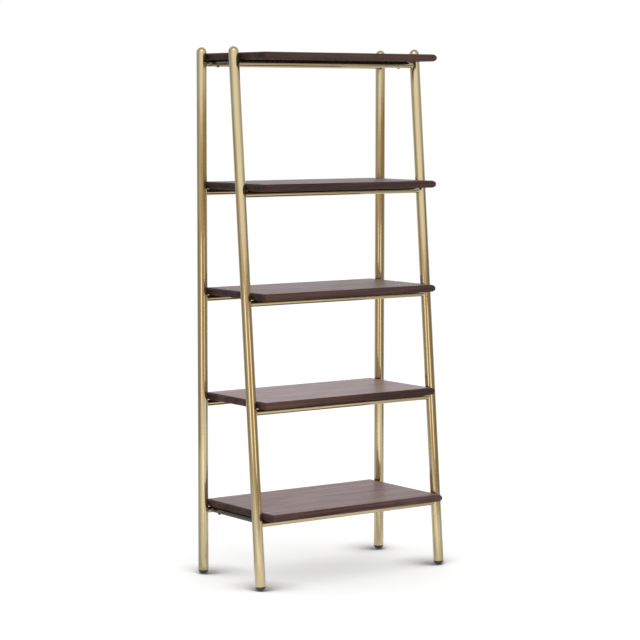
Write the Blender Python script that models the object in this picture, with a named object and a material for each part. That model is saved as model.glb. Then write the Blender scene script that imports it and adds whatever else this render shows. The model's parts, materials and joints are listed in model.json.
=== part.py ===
"""Ladder bookcase: a welded brass tube frame, five walnut shelves and four levelling feet.

Metres, +Z up, front towards -Y. The origin is on the floor, under the middle of the bookcase.
"""
import math

import bmesh
import bpy
from mathutils import Matrix, Vector

# Overall frame, measured between tube axes
HEIGHT = 1.800
LEG_SPACING = 0.757
FOOT_SPREAD = 0.349
HEAD_SPREAD = 0.193

# Tubes
LEG_RADIUS = 0.0175
LEG_WALL = 0.0015
RAIL_RADIUS = 0.0105
RAIL_WALL = 0.0012
SIDE_RAIL_RADIUS = 0.0095
SIDE_RAIL_WALL = 0.0012
SIDE_RAIL_INSET = 0.035

# Shelves, with their heights as steps from one upper face to the next
SHELF_THICKNESS = 0.0245
UPPER_SHELF_DEPTH = 0.373
BOTTOM_SHELF_DEPTH = 0.418
SHELF_BACK_OVERHANG = 0.026
SHELF_END_CLEARANCE = 0.001
SHELF_CORNER_RADIUS = 0.004
SHELF_EDGE_ROUND = 0.0115
SHELF_EDGE_BAND = 0.0005
BOTTOM_SHELF_HEIGHT = 0.256
LOWER_STEP = 0.370
MIDDLE_STEP = 0.360
UPPER_STEP = 0.361
TOP_SHELF_DROP = 0.020

# Screws in the side rails, with their heads below
SIDE_SCREW_RADIUS = 0.003
SIDE_SCREW_HEAD_RADIUS = 0.0053
SIDE_SCREW_HEAD_HEIGHT = 0.0035
SIDE_SCREW_INSET = 0.0475
SIDE_SCREW_BITE = 0.016

# Screws in the rails of the three middle shelves, with their heads inside the tube
RAIL_SCREW_RADIUS = 0.00225
RAIL_SCREW_HEAD_RADIUS = 0.0042
RAIL_SCREW_HEAD_HEIGHT = 0.0024
RAIL_SCREW_INSET = 0.120
RAIL_SCREW_BITE = 0.016
DRIVER_CLEARANCE = 0.0008

# Levelling feet
GLIDE_HEIGHT = 0.0145
STUD_RADIUS = 0.004
STUD_SEAT_DEPTH = 0.009
STUD_REACH = 0.026
INSERT_LENGTH = 0.020

# Clearances
SEAT_GAP = 0.0003
HOLE_CLEARANCE = 0.0003
PILOT_TIP_CLEARANCE = 0.001

# Facets
LEG_SEGMENTS = 24
RAIL_SEGMENTS = 16
SCREW_SEGMENTS = 12
DOME_RINGS = 6
HEAD_RINGS = 3
CORNER_STEPS = 4
EDGE_STEPS = 4
SMOOTH_ANGLE = math.radians(40)

# Places that follow from the sizes above
HALF_SPACING = LEG_SPACING / 2
FRONT_LEAN = math.atan2(FOOT_SPREAD - HEAD_SPREAD, HEIGHT)
FRONT_REACH = max(BOTTOM_SHELF_DEPTH - SHELF_BACK_OVERHANG, FOOT_SPREAD + LEG_RADIUS)
BACK_REACH = max(SHELF_BACK_OVERHANG, LEG_RADIUS)
REAR_LEG_Y = (FRONT_REACH - BACK_REACH) / 2
SHELF_LENGTH = LEG_SPACING - 2 * (LEG_RADIUS + SHELF_END_CLEARANCE)

SECOND_SHELF_HEIGHT = BOTTOM_SHELF_HEIGHT + LOWER_STEP
THIRD_SHELF_HEIGHT = SECOND_SHELF_HEIGHT + MIDDLE_STEP
FOURTH_SHELF_HEIGHT = THIRD_SHELF_HEIGHT + UPPER_STEP
TOP_SHELF_HEIGHT = HEIGHT - TOP_SHELF_DROP

SIDES = {"left": -1, "right": 1}
SHELVES = {
    "top": TOP_SHELF_HEIGHT,
    "fourth": FOURTH_SHELF_HEIGHT,
    "third": THIRD_SHELF_HEIGHT,
    "second": SECOND_SHELF_HEIGHT,
    "bottom": BOTTOM_SHELF_HEIGHT,
}
SIDE_RAIL_SHELVES = ("top", "bottom")

BRASS = {"color": (0.62, 0.46, 0.24), "metallic": 1.0, "roughness": 0.22}
WALNUT = {"color": (0.085, 0.045, 0.038), "metallic": 0.0, "roughness": 0.45}
DARK_STEEL = {"color": (0.035, 0.033, 0.032), "metallic": 0.0, "roughness": 0.40}
BLACK_SCREW = {"color": (0.030, 0.028, 0.026), "metallic": 0.6, "roughness": 0.38}
ZINC = {"color": (0.55, 0.56, 0.57), "metallic": 1.0, "roughness": 0.35}
NYLON = {"color": (0.03, 0.03, 0.03), "metallic": 0.0, "roughness": 0.50}
GLIDE_PLASTIC = {"color": (0.045, 0.043, 0.041), "metallic": 0.0, "roughness": 0.42}


def clear_scene():
    for item in list(bpy.data.objects):
        bpy.data.objects.remove(item, do_unlink=True)


def material(name, look):
    """A Principled material with one colour, metallic and roughness value."""
    made = bpy.data.materials.new(name)
    made.use_nodes = True
    shader = made.node_tree.nodes["Principled BSDF"]
    shader.inputs["Base Color"].default_value = (*look["color"], 1.0)
    shader.inputs["Metallic"].default_value = look["metallic"]
    shader.inputs["Roughness"].default_value = look["roughness"]
    return made


def mesh_from(name, work):
    """Closes the bmesh off into a mesh with its faces pointing out and its round faces smooth."""
    bmesh.ops.recalc_face_normals(work, faces=work.faces)
    mesh = bpy.data.meshes.new(name)
    work.to_mesh(mesh)
    work.free()
    mesh.shade_smooth()
    mesh.set_sharp_from_angle(angle=SMOOTH_ANGLE)
    return mesh


def bridge(work, rings, closed=False):
    """Joins each ring of vertices to the next. A ring of one vertex is a tip."""
    pairs = list(zip(rings, rings[1:]))
    if closed:
        pairs.append((rings[-1], rings[0]))
    for lower, upper in pairs:
        count = max(len(lower), len(upper))
        for step in range(count):
            following = (step + 1) % count
            corners = []
            for vert in (lower[step % len(lower)], lower[following % len(lower)],
                         upper[following % len(upper)], upper[step % len(upper)]):
                if vert not in corners:
                    corners.append(vert)
            work.faces.new(corners)


def add_turned(work, outline, segments, closed=False, place=Matrix.Identity(4)):
    """Turns an outline of (radius, height) points about Z. A point of radius 0 is a single tip."""
    rings = []
    for radius, height in outline:
        count = segments if radius > 0 else 1
        ring = []
        for step in range(count):
            angle = 2 * math.pi * step / segments
            corner = Vector((radius * math.cos(angle), radius * math.sin(angle), height))
            ring.append(work.verts.new(place @ corner))
        rings.append(ring)
    bridge(work, rings, closed)


def turned_mesh(name, outline, segments, closed=False):
    work = bmesh.new()
    add_turned(work, outline, segments, closed)
    return mesh_from(name, work)


def add_object(name, mesh, finish, place):
    """Links a named object for the mesh, with its material, at a place in the world."""
    item = bpy.data.objects.new(name, mesh)
    if not mesh.materials:
        mesh.materials.append(finish)
    item.matrix_world = place
    bpy.context.scene.collection.objects.link(item)
    return item


def add_cutter(name, work):
    """A wire-frame guide that other pieces are cut with. It isn't part of the bookcase."""
    item = bpy.data.objects.new(name, mesh_from(name, work))
    item.hide_render = True
    item.display_type = "WIRE"
    bpy.context.scene.collection.objects.link(item)
    return item


def cut_with(item, cutter):
    cut = item.modifiers.new("cut_" + cutter.name, "BOOLEAN")
    cut.operation = "DIFFERENCE"
    cut.solver = "EXACT"
    cut.object = cutter


def drill(item, holes, segments=SCREW_SEGMENTS):
    """Cuts upright round holes, each given as centre x, centre y, radius, bottom and top."""
    work = bmesh.new()
    for x, y, radius, bottom, top in holes:
        outline = [(0, bottom), (radius, bottom), (radius, top), (0, top)]
        add_turned(work, outline, segments, place=Matrix.Translation((x, y, 0)))
    cut_with(item, add_cutter("holes_" + item.name, work))


def arc(radius, start, end, steps, center=0.0, flatten=1.0):
    """Points (radius, height) on an arc about the axis point at height center, ends included."""
    points = []
    for step in range(steps + 1):
        angle = start + (end - start) * step / steps
        reach = radius * math.cos(angle)
        if abs(reach) < radius * 1e-6:
            reach = 0
        points.append((reach, center + flatten * radius * math.sin(angle)))
    return points


def glide_outline():
    """The domed foot, from its lowest tip round its side and down into the seat of the stud."""
    dome = arc(LEG_RADIUS, -math.pi / 2, 0, DOME_RINGS, flatten=GLIDE_HEIGHT / LEG_RADIUS)
    bore = STUD_RADIUS + SEAT_GAP
    floor = -STUD_SEAT_DEPTH - SEAT_GAP
    return dome + [(bore, 0), (bore, floor), (0, floor)]


def foot_drop(lean):
    """How far the lowest point of the foot lies below the middle of its upper face."""
    return max(radius * math.sin(lean) - height * math.cos(lean) for radius, height in glide_outline())


def leg_lean(is_front):
    return FRONT_LEAN if is_front else 0.0


def leg_y(is_front, height):
    """Where the axis of a leg is, front to back, at a height."""
    if not is_front:
        return REAR_LEG_Y
    return REAR_LEG_Y - FOOT_SPREAD + (FOOT_SPREAD - HEAD_SPREAD) * height / HEIGHT


def leg_place(is_front, side):
    """The frame of a leg: its origin is the middle of the foot's upper face, and +Z runs up the leg."""
    lean = leg_lean(is_front)
    base = foot_drop(lean)
    spot = Matrix.Translation((side * HALF_SPACING, leg_y(is_front, base), base))
    return spot @ Matrix.Rotation(-lean, 4, "X")


def dome_center(is_front):
    """How far up its leg the middle of the domed end lies."""
    lean = leg_lean(is_front)
    return (HEIGHT - LEG_RADIUS - foot_drop(lean)) / math.cos(lean)


def leg_outline(is_front):
    """Hollow tube, open below and closed above by a dome of the same wall."""
    center = dome_center(is_front)
    bore = LEG_RADIUS - LEG_WALL
    inside = arc(bore, math.pi / 2, 0, DOME_RINGS, center)
    outside = arc(LEG_RADIUS, 0, math.pi / 2, DOME_RINGS, center)
    return inside + [(bore, SEAT_GAP), (LEG_RADIUS, SEAT_GAP)] + outside


def insert_outline():
    bore = STUD_RADIUS + SEAT_GAP
    outside = LEG_RADIUS - LEG_WALL - SEAT_GAP
    top = SEAT_GAP + INSERT_LENGTH
    return [(bore, SEAT_GAP), (outside, SEAT_GAP), (outside, top), (bore, top)]


def stud_outline():
    return [(0, -STUD_SEAT_DEPTH), (STUD_RADIUS, -STUD_SEAT_DEPTH), (STUD_RADIUS, STUD_REACH), (0, STUD_REACH)]


def make_legs_and_feet(brass, nylon, zinc, plastic):
    insert = turned_mesh("foot_insert", insert_outline(), LEG_SEGMENTS, closed=True)
    stud = turned_mesh("foot_stud", stud_outline(), SCREW_SEGMENTS)
    glide = turned_mesh("foot_glide", glide_outline(), LEG_SEGMENTS)
    for end, is_front in (("front", True), ("rear", False)):
        tube = turned_mesh(end + "_leg", leg_outline(is_front), LEG_SEGMENTS)
        for side_name, side in SIDES.items():
            place = leg_place(is_front, side)
            corner = end + "_" + side_name
            add_object(end + "_leg_" + side_name, tube, brass, place)
            add_object("foot_insert_" + corner, insert, nylon, place)
            add_object("foot_stud_" + corner, stud, zinc, place)
            add_object("foot_glide_" + corner, glide, plastic, place)


def leg_cutter(is_front, side_name):
    """A leg with its welding gap all round, for coping the ends of the rails."""
    radius = LEG_RADIUS + SEAT_GAP
    outline = [(0, 0), (radius, 0), (radius, HEIGHT), (0, HEIGHT)]
    work = bmesh.new()
    add_turned(work, outline, LEG_SEGMENTS, place=leg_place(is_front, SIDES[side_name]))
    end = "front" if is_front else "rear"
    return add_cutter("cope_" + end + "_" + side_name, work)


def rail_height(shelf_height):
    """The axis of the rails that carry a shelf, from the height of its upper face."""
    return shelf_height - SHELF_THICKNESS - SEAT_GAP - RAIL_RADIUS


def side_rail_height(shelf_height):
    return shelf_height - SHELF_THICKNESS - SEAT_GAP - SIDE_RAIL_RADIUS


def tube_outline(radius, wall, length):
    bore = radius - wall
    return [(radius, -length / 2), (radius, length / 2), (bore, length / 2), (bore, -length / 2)]


def rail_screw_xs():
    return [side * (HALF_SPACING - RAIL_SCREW_INSET) for side in SIDES.values()]


def rail_screw_bearing():
    """How far above the rail's axis the screw's head bears, inside the tube."""
    bore = RAIL_RADIUS - RAIL_WALL
    return math.sqrt(bore ** 2 - RAIL_SCREW_HEAD_RADIUS ** 2) - SEAT_GAP


def make_rails(brass):
    """Front and back rails, coped to the legs, with screw holes under the middle shelves."""
    mesh = turned_mesh("rail", tube_outline(RAIL_RADIUS, RAIL_WALL, LEG_SPACING), RAIL_SEGMENTS, closed=True)
    along_x = Matrix.Rotation(math.pi / 2, 4, "Y")
    for end, is_front in (("front", True), ("back", False)):
        copes = [leg_cutter(is_front, side_name) for side_name in SIDES]
        for shelf_name, shelf_height in SHELVES.items():
            height = rail_height(shelf_height)
            y = leg_y(is_front, height)
            place = Matrix.Translation((0, y, height)) @ along_x
            rail = add_object(end + "_rail_" + shelf_name, mesh, brass, place)
            for cope in copes:
                cut_with(rail, cope)
            if shelf_name in SIDE_RAIL_SHELVES:
                continue
            access = RAIL_SCREW_HEAD_RADIUS + DRIVER_CLEARANCE
            through = RAIL_SCREW_RADIUS + HOLE_CLEARANCE
            holes = []
            for x in rail_screw_xs():
                holes.append((x, y, access, height - 2 * RAIL_RADIUS, height))
                holes.append((x, y, through, height + RAIL_WALL, height + 2 * RAIL_RADIUS))
            drill(rail, holes)


def make_rail_screws(steel):
    """Screws up through the rails of the middle shelves, with their heads hidden in the tubes."""
    bearing = rail_screw_bearing()
    tip = RAIL_RADIUS + SEAT_GAP + RAIL_SCREW_BITE
    outline = [(0, bearing - RAIL_SCREW_HEAD_HEIGHT), (RAIL_SCREW_HEAD_RADIUS, bearing - RAIL_SCREW_HEAD_HEIGHT),
               (RAIL_SCREW_HEAD_RADIUS, bearing), (RAIL_SCREW_RADIUS, bearing), (RAIL_SCREW_RADIUS, tip), (0, tip)]
    mesh = turned_mesh("rail_screw", outline, SCREW_SEGMENTS)
    for end, is_front in (("front", True), ("back", False)):
        for shelf_name, shelf_height in SHELVES.items():
            if shelf_name in SIDE_RAIL_SHELVES:
                continue
            height = rail_height(shelf_height)
            for side_name, x in zip(SIDES, rail_screw_xs()):
                name = "_".join(("rail_screw", shelf_name, end, side_name))
                add_object(name, mesh, steel, Matrix.Translation((x, leg_y(is_front, height), height)))


def side_rail_x(side):
    return side * (HALF_SPACING - SIDE_RAIL_INSET)


def side_screw_ys(shelf_height):
    """Front and back screws of a side rail, each measured from the axis of the rail it ends on."""
    height = rail_height(shelf_height)
    return {"front": leg_y(True, height) + SIDE_SCREW_INSET, "back": leg_y(False, height) - SIDE_SCREW_INSET}


def rail_cope(is_front, shelf_name):
    """A front or back rail with its welding gap all round, for coping the side rails."""
    height = rail_height(SHELVES[shelf_name])
    radius = RAIL_RADIUS + SEAT_GAP
    outline = [(0, -HALF_SPACING), (radius, -HALF_SPACING), (radius, HALF_SPACING), (0, HALF_SPACING)]
    spot = Matrix.Translation((0, leg_y(is_front, height), height))
    work = bmesh.new()
    add_turned(work, outline, RAIL_SEGMENTS, place=spot @ Matrix.Rotation(math.pi / 2, 4, "Y"))
    end = "front" if is_front else "back"
    return add_cutter("cope_" + end + "_rail_" + shelf_name, work)


def make_side_rails(steel):
    """Dark rails front to back under the top and bottom shelves, coped to the brass rails."""
    hole = SIDE_SCREW_RADIUS + HOLE_CLEARANCE
    for shelf_name in SIDE_RAIL_SHELVES:
        shelf_height = SHELVES[shelf_name]
        height = side_rail_height(shelf_height)
        front = leg_y(True, rail_height(shelf_height))
        back = leg_y(False, rail_height(shelf_height))
        outline = tube_outline(SIDE_RAIL_RADIUS, SIDE_RAIL_WALL, back - front)
        mesh = turned_mesh("side_rail_" + shelf_name, outline, RAIL_SEGMENTS, closed=True)
        copes = [rail_cope(is_front, shelf_name) for is_front in (True, False)]
        for side_name, side in SIDES.items():
            x = side_rail_x(side)
            place = Matrix.Translation((x, (front + back) / 2, height)) @ Matrix.Rotation(math.pi / 2, 4, "X")
            rail = add_object("side_rail_" + shelf_name + "_" + side_name, mesh, steel, place)
            for cope in copes:
                cut_with(rail, cope)
            bottom = height - 2 * SIDE_RAIL_RADIUS
            top = height + 2 * SIDE_RAIL_RADIUS
            drill(rail, [(x, y, hole, bottom, top) for y in side_screw_ys(shelf_height).values()])


def make_side_screws(steel):
    """Button-head screws up through the side rails into the shelves."""
    seat = -SIDE_RAIL_RADIUS - SEAT_GAP
    tip = SIDE_RAIL_RADIUS + SEAT_GAP + SIDE_SCREW_BITE
    flatten = SIDE_SCREW_HEAD_HEIGHT / SIDE_SCREW_HEAD_RADIUS
    head = arc(SIDE_SCREW_HEAD_RADIUS, -math.pi / 2, 0, HEAD_RINGS, center=seat, flatten=flatten)
    outline = head + [(SIDE_SCREW_RADIUS, seat), (SIDE_SCREW_RADIUS, tip), (0, tip)]
    mesh = turned_mesh("side_screw", outline, SCREW_SEGMENTS)
    for shelf_name in SIDE_RAIL_SHELVES:
        shelf_height = SHELVES[shelf_name]
        for end, y in side_screw_ys(shelf_height).items():
            for side_name, side in SIDES.items():
                name = "_".join(("side_screw", shelf_name, end, side_name))
                spot = (side_rail_x(side), y, side_rail_height(shelf_height))
                add_object(name, mesh, steel, Matrix.Translation(spot))


def shelf_outline(length, depth, inset):
    """A rectangle with round corners, moved in by an inset, anticlockwise from above."""
    radius = SHELF_CORNER_RADIUS
    points = []
    for quarter, (x_sign, y_sign) in enumerate(((1, 1), (-1, 1), (-1, -1), (1, -1))):
        for step in range(CORNER_STEPS + 1):
            angle = math.pi / 2 * (quarter + step / CORNER_STEPS)
            points.append((x_sign * (length / 2 - inset - radius) + radius * math.cos(angle),
                           y_sign * (depth / 2 - inset - radius) + radius * math.sin(angle)))
    return points


def edge_profile():
    """The rounded edge of a shelf, as (inset, height) points from its lower face to its upper face."""
    radius = min(SHELF_EDGE_ROUND, (SHELF_THICKNESS - SHELF_EDGE_BAND) / 2)
    lower = []
    for step in range(EDGE_STEPS + 1):
        angle = math.pi / 2 * step / EDGE_STEPS
        lower.append((radius * (1 - math.sin(angle)), radius * (1 - math.cos(angle))))
    upper = [(inset, SHELF_THICKNESS - height) for inset, height in reversed(lower)]
    return lower + upper


def shelf_mesh(name, depth):
    """A board through its outlines, from its lower face at 0 up to its upper face."""
    work = bmesh.new()
    rings = []
    for inset, height in edge_profile():
        rings.append([work.verts.new((x, y, height)) for x, y in shelf_outline(SHELF_LENGTH, depth, inset)])
    bridge(work, rings)
    work.faces.new(rings[0])
    work.faces.new(rings[-1])
    return mesh_from(name, work)


def shelf_holes(shelf_name, shelf_height):
    """Pilot holes in the underside of a shelf, over its screws."""
    underside = shelf_height - SHELF_THICKNESS
    bottom = underside - SHELF_THICKNESS
    holes = []
    if shelf_name in SIDE_RAIL_SHELVES:
        top = underside + SIDE_SCREW_BITE + PILOT_TIP_CLEARANCE
        for side in SIDES.values():
            for y in side_screw_ys(shelf_height).values():
                holes.append((side_rail_x(side), y, SIDE_SCREW_RADIUS + HOLE_CLEARANCE, bottom, top))
        return holes
    top = underside + RAIL_SCREW_BITE + PILOT_TIP_CLEARANCE
    height = rail_height(shelf_height)
    for is_front in (True, False):
        for x in rail_screw_xs():
            holes.append((x, leg_y(is_front, height), RAIL_SCREW_RADIUS + HOLE_CLEARANCE, bottom, top))
    return holes


def make_shelves(wood):
    for shelf_name, shelf_height in SHELVES.items():
        depth = BOTTOM_SHELF_DEPTH if shelf_name == "bottom" else UPPER_SHELF_DEPTH
        middle = REAR_LEG_Y + SHELF_BACK_OVERHANG - depth / 2
        place = Matrix.Translation((0, middle, shelf_height - SHELF_THICKNESS))
        shelf = add_object("shelf_" + shelf_name, shelf_mesh("shelf_" + shelf_name, depth), wood, place)
        drill(shelf, shelf_holes(shelf_name, shelf_height))


def main():
    clear_scene()
    brass = material("brass", BRASS)
    steel = material("dark_steel", DARK_STEEL)
    screw_steel = material("black_screw", BLACK_SCREW)
    make_legs_and_feet(brass, material("nylon", NYLON), material("zinc", ZINC), material("glide", GLIDE_PLASTIC))
    make_rails(brass)
    make_side_rails(steel)
    make_shelves(material("walnut", WALNUT))
    make_side_screws(screw_steel)
    make_rail_screws(screw_steel)


main()
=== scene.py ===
"""The looks of the ladder bookcase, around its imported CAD. Metres, +Z up, front towards -Y."""
import json
import math

import bmesh
import bpy
from mathutils import Matrix, Vector


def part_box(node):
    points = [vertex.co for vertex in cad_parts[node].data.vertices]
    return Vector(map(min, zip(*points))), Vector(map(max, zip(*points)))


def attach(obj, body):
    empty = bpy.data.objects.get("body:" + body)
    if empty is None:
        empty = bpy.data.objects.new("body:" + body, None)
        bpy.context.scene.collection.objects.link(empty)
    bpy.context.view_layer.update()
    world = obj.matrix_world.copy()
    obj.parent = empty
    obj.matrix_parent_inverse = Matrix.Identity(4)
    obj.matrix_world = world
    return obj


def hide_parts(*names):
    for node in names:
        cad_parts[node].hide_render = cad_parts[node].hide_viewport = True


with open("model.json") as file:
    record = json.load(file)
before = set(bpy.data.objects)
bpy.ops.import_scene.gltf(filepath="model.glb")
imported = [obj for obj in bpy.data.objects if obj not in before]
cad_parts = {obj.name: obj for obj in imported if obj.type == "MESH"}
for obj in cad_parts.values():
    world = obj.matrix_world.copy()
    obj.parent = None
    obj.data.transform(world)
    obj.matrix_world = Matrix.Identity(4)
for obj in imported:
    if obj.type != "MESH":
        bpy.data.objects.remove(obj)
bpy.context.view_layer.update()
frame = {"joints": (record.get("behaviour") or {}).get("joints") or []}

MM = 0.001
JOINTS = {joint["name"]: joint for joint in frame["joints"]}
SIDES = {"left": -1, "right": 1}
LEG_ROWS = ("front", "rear")
RAIL_ROWS = {"front": "front", "back": "rear"}
SHELF_NAMES = ("top", "fourth", "third", "second", "bottom")
SIDE_RAIL_SHELVES = ("top", "bottom")
MIDDLE_SHELVES = ("fourth", "third", "second")

# Facets
LEG_SEGMENTS = 64
RAIL_SEGMENTS = 48
SCREW_SEGMENTS = 36
DOME_STEPS = 14
FILLET_STEPS = 5
LIP_STEPS = 3
GLIDE_EDGE_STEPS = 4
SHELF_EDGE_STEPS = 10
CORNER_STEPS = 12
CROWN_STEPS = 8
THREAD_STEPS = 8
SMOOTH_ANGLE = math.radians(30)

# A ring of vertices this far past a curve's end keeps the straight side beside it flat
HOLD = 0.6 * MM


# Sizes and places, read from the frame
def middle(node):
    low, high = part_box(node)
    return (low + high) / 2


def size(node):
    low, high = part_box(node)
    return high - low


def foot_base(corner):
    """The middle of a foot's upper face, where its screw turns."""
    return Vector(JOINTS["foot_turn_" + corner]["pos_m"])


def leg_lean(corner):
    """How far a leg leans back, as an angle."""
    down = Vector(JOINTS["foot_turn_" + corner]["axis"])
    return math.atan2(-down.y, -down.z)


def leg_place(corner):
    """The frame of a leg: its origin is the middle of the foot's upper face, and +Z runs up the leg."""
    return Matrix.Translation(foot_base(corner)) @ Matrix.Rotation(-leg_lean(corner), 4, "X")


def screw_name(kind, shelf, end, side):
    return "_".join((kind, shelf, end, side))


def screw_names(kind, shelf):
    """The four screws of a shelf."""
    return [screw_name(kind, shelf, end, side) for end in RAIL_ROWS for side in SIDES]


# Meshes
def new_item(name, data):
    """A new object, linked to the scene."""
    item = bpy.data.objects.new(name, data)
    bpy.context.scene.collection.objects.link(item)
    return item


def mesh_of(name, work):
    mesh = bpy.data.meshes.new(name)
    work.to_mesh(mesh)
    work.free()
    return mesh


def finish_mesh(name, work):
    """The mesh of a closed form, shaded smooth but for its sharp edges."""
    bmesh.ops.recalc_face_normals(work, faces=work.faces)
    mesh = mesh_of(name, work)
    mesh.shade_smooth()
    mesh.set_sharp_from_angle(angle=SMOOTH_ANGLE)
    return mesh


def bridge(work, rings, closed=False):
    """Joins rings of vertices to their neighbours. A ring of one vertex is a tip."""
    pairs = list(zip(rings, rings[1:]))
    if closed:
        pairs.append((rings[-1], rings[0]))
    for lower, upper in pairs:
        count = max(len(lower), len(upper))
        for step in range(count):
            following = (step + 1) % count
            corners = []
            for vert in (lower[step % len(lower)], lower[following % len(lower)],
                         upper[following % len(upper)], upper[step % len(upper)]):
                if vert not in corners:
                    corners.append(vert)
            work.faces.new(corners)


def circle(radius, segments):
    """Points around a circle. The radius is a number, or a function of the angle."""
    points = []
    for step in range(segments):
        angle = 2 * math.pi * step / segments
        reach = radius(angle) if callable(radius) else radius
        points.append((reach * math.cos(angle), reach * math.sin(angle)))
    return points


def ring(work, radius, height, segments):
    """One ring of vertices about Z, or a tip where the radius is 0."""
    if radius == 0:
        return [work.verts.new((0, 0, height))]
    return [work.verts.new((x, y, height)) for x, y in circle(radius, segments)]


def turned(outline, segments, closed=False):
    """An outline of (radius, height) points, turned about Z."""
    work = bmesh.new()
    bridge(work, [ring(work, radius, height, segments) for radius, height in outline], closed)
    return work


def arc(radius, start, end, steps, center=(0.0, 0.0), flatten=1.0):
    """Points (radius, height) on an arc, ends included. A point that all but meets the axis is put on it."""
    points = []
    for step in range(steps + 1):
        angle = start + (end - start) * step / steps
        reach = center[0] + radius * math.cos(angle)
        if abs(reach) < radius * 1e-6:
            reach = 0
        points.append((reach, center[1] + flatten * radius * math.sin(angle)))
    return points


def drilled(mesh, holes):
    """The mesh with upright round holes, each given as centre x, centre y, radius, bottom and top."""
    drills = bmesh.new()
    for x, y, radius, bottom, top in holes:
        drill = turned([(0, bottom), (radius, bottom), (radius, top), (0, top)], SCREW_SEGMENTS)
        bmesh.ops.translate(drill, verts=drill.verts, vec=(x, y, 0))
        bmesh.ops.recalc_face_normals(drill, faces=drill.faces)
        bit = mesh_of("bit", drill)
        drills.from_mesh(bit)
        bpy.data.meshes.remove(bit)
    cutter_mesh = mesh_of("cutter", drills)
    cutter = new_item("cutter", cutter_mesh)
    blank = new_item("blank", mesh)
    cut = blank.modifiers.new("cut", "BOOLEAN")
    cut.operation = "DIFFERENCE"
    cut.solver = "EXACT"
    cut.object = cutter
    graph = bpy.context.evaluated_depsgraph_get()
    made = bpy.data.meshes.new_from_object(blank.evaluated_get(graph))
    made.name = mesh.name
    for item in (cutter, blank):
        bpy.data.objects.remove(item)
    bpy.data.meshes.remove(cutter_mesh)
    made.set_sharp_from_angle(angle=SMOOTH_ANGLE)
    return made


def add_piece(name, mesh, body, finish=None, place=Matrix.Identity(4)):
    """Links a copy of a mesh, moved to its place, instead of a CAD node, and lets it ride on a body."""
    placed = mesh.copy()
    placed.transform(place)
    if finish:
        placed.materials.append(finish)
    item = new_item(name + "_fine", placed)
    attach(item, body)
    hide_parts(name)


# Shader nodes
def feed(tree, socket, value):
    """Links a socket to another node's output, or sets its value."""
    if isinstance(value, bpy.types.NodeSocket):
        tree.links.new(value, socket)
    else:
        socket.default_value = value


def add_node(tree, kind, settings=None, **inputs):
    """Adds a shader node. Its inputs are named, with _ for a space, and each is a value or an output."""
    made = tree.nodes.new("ShaderNode" + kind)
    for key, value in (settings or {}).items():
        setattr(made, key, value)
    for name, value in inputs.items():
        feed(tree, made.inputs[name.replace("_", " ")], value)
    return made


def math_node(tree, operation, *values, kind="Math"):
    """The result of a Math node, or of a VectorMath node where that is the kind."""
    made = add_node(tree, kind, {"operation": operation})
    for socket, value in zip(made.inputs, values):
        feed(tree, socket, value)
    return made.outputs[0]


def color_ramp(tree, factor, stops):
    """A ramp through (position, colour) stops."""
    made = tree.nodes.new("ShaderNodeValToRGB")
    tree.links.new(factor, made.inputs[0])
    elements = made.color_ramp.elements
    while len(elements) < len(stops):
        elements.new(0.5)
    for element, (position, color) in zip(elements, stops):
        element.position = position
        element.color = (*color, 1.0)
    return made.outputs[0]


def value_ramp(tree, factor, span, values):
    """A smooth ramp from the first value to the second as the factor crosses the span."""
    return add_node(tree, "MapRange", {"interpolation_type": "SMOOTHSTEP"}, Value=factor, From_Min=span[0],
                    From_Max=span[1], To_Min=values[0], To_Max=values[1]).outputs[0]


def mixed(tree, factor, first, second, data_type="RGBA", blend_type="MIX"):
    """Two colours, or two numbers where data_type is FLOAT, mixed by a factor."""
    made = add_node(tree, "Mix", {"data_type": data_type, "blend_type": blend_type})
    sockets = [socket for socket in made.inputs if socket.enabled]
    for socket, value in zip(sockets, (factor, first, second)):
        feed(tree, socket, (*value, 1.0) if isinstance(value, tuple) else value)
    return [socket for socket in made.outputs if socket.enabled][0]


def own_coords(tree):
    return add_node(tree, "TexCoord").outputs["Object"]


def stretched(tree, coords, scale):
    return add_node(tree, "Mapping", Vector=coords, Scale=scale).outputs[0]


def noise(tree, coords, scale=1.0, detail=2.0, roughness=0.5, output="Fac"):
    made = add_node(tree, "TexNoise", Vector=coords, Scale=scale, Detail=detail, Roughness=roughness)
    return made.outputs[output]


def bump(tree, height, strength, distance, under=None):
    """A bumped normal, over another one where there is one under it."""
    made = add_node(tree, "Bump", Height=height, Strength=strength, Distance=distance)
    if under is not None:
        tree.links.new(under, made.inputs["Normal"])
    return made.outputs[0]


def new_material(name):
    made = bpy.data.materials.new(name)
    made.use_nodes = True
    return made, made.node_tree, made.node_tree.nodes["Principled BSDF"]


# The spans that hold most of a noise's values
NARROW_SPAN = (0.35, 0.65)
WIDE_SPAN = (0.30, 0.70)

# Brass. Brush marks and clouds are drawn out along the tube.
BRUSH_STRETCH = (1.0, 1.0, 0.02)
CLOUD_STRETCH = (1.0, 1.0, 0.25)
BRASS_TONES = ((0.30, (0.765, 0.630, 0.375)), (0.70, (0.820, 0.690, 0.440)))
BRASS_MARK = (0.66, 0.52, 0.29)
BRASS_MARK_SHARE = (0.0, 0.06)
BRASS_ROUGHNESS = (0.09, 0.13)
BRUSH_DEPTH = 0.05 * MM


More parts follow.
